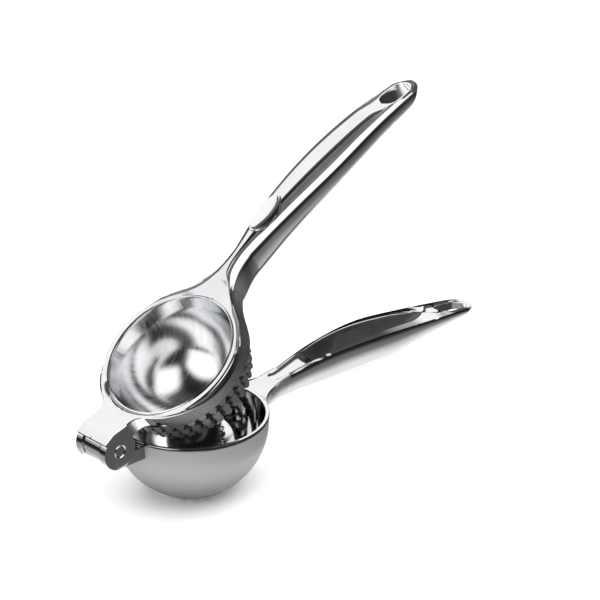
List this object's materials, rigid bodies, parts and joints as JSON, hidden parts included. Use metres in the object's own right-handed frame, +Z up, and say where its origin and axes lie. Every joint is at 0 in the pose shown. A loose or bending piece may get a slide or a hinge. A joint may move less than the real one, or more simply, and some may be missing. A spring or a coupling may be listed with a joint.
{
  "type": "hinged lemon squeezer",
  "caption": "Hand press for citrus: a ribbed cup on one lever swings down into a round strainer bowl on the other, about a cross pin.",
  "frame": {"origin": "centre of the small flat under the strainer bowl", "axes": "+X from the hinge to the handle tips, +Y along the hinge pin, +Z up; the lower arm lies level and the upper arm is drawn 36 degrees open"},
  "size_m": [0.257, 0.0768, 0.174],
  "materials": {
    "polished_arm": "mirror polish",
    "satin_bowl": "fine satin outside, polished inside",
    "spun_cup": "spun and brushed inside, polished ribs outside",
    "badge": "mirror polish, blank",
    "pin": "turned",
    "washer": "turned"
  },
  "bodies": {
    "lower": {"lower_arm": "polished_arm", "strainer_bowl": "satin_bowl", "washer_near": "washer", "washer_far": "washer"},
    "upper": {"upper_arm": "polished_arm", "press_cup": "spun_cup", "badge_plate": "badge", "hinge_pin": "pin"}
  },
  "joints": [
    {"name": "hinge", "type": "hinge", "parent": "lower", "child": "upper", "pos_m": [-0.0526, 0, 0.0434], "axis": [0, -1, 0], "range_deg": [-31, 80]}
  ]
}
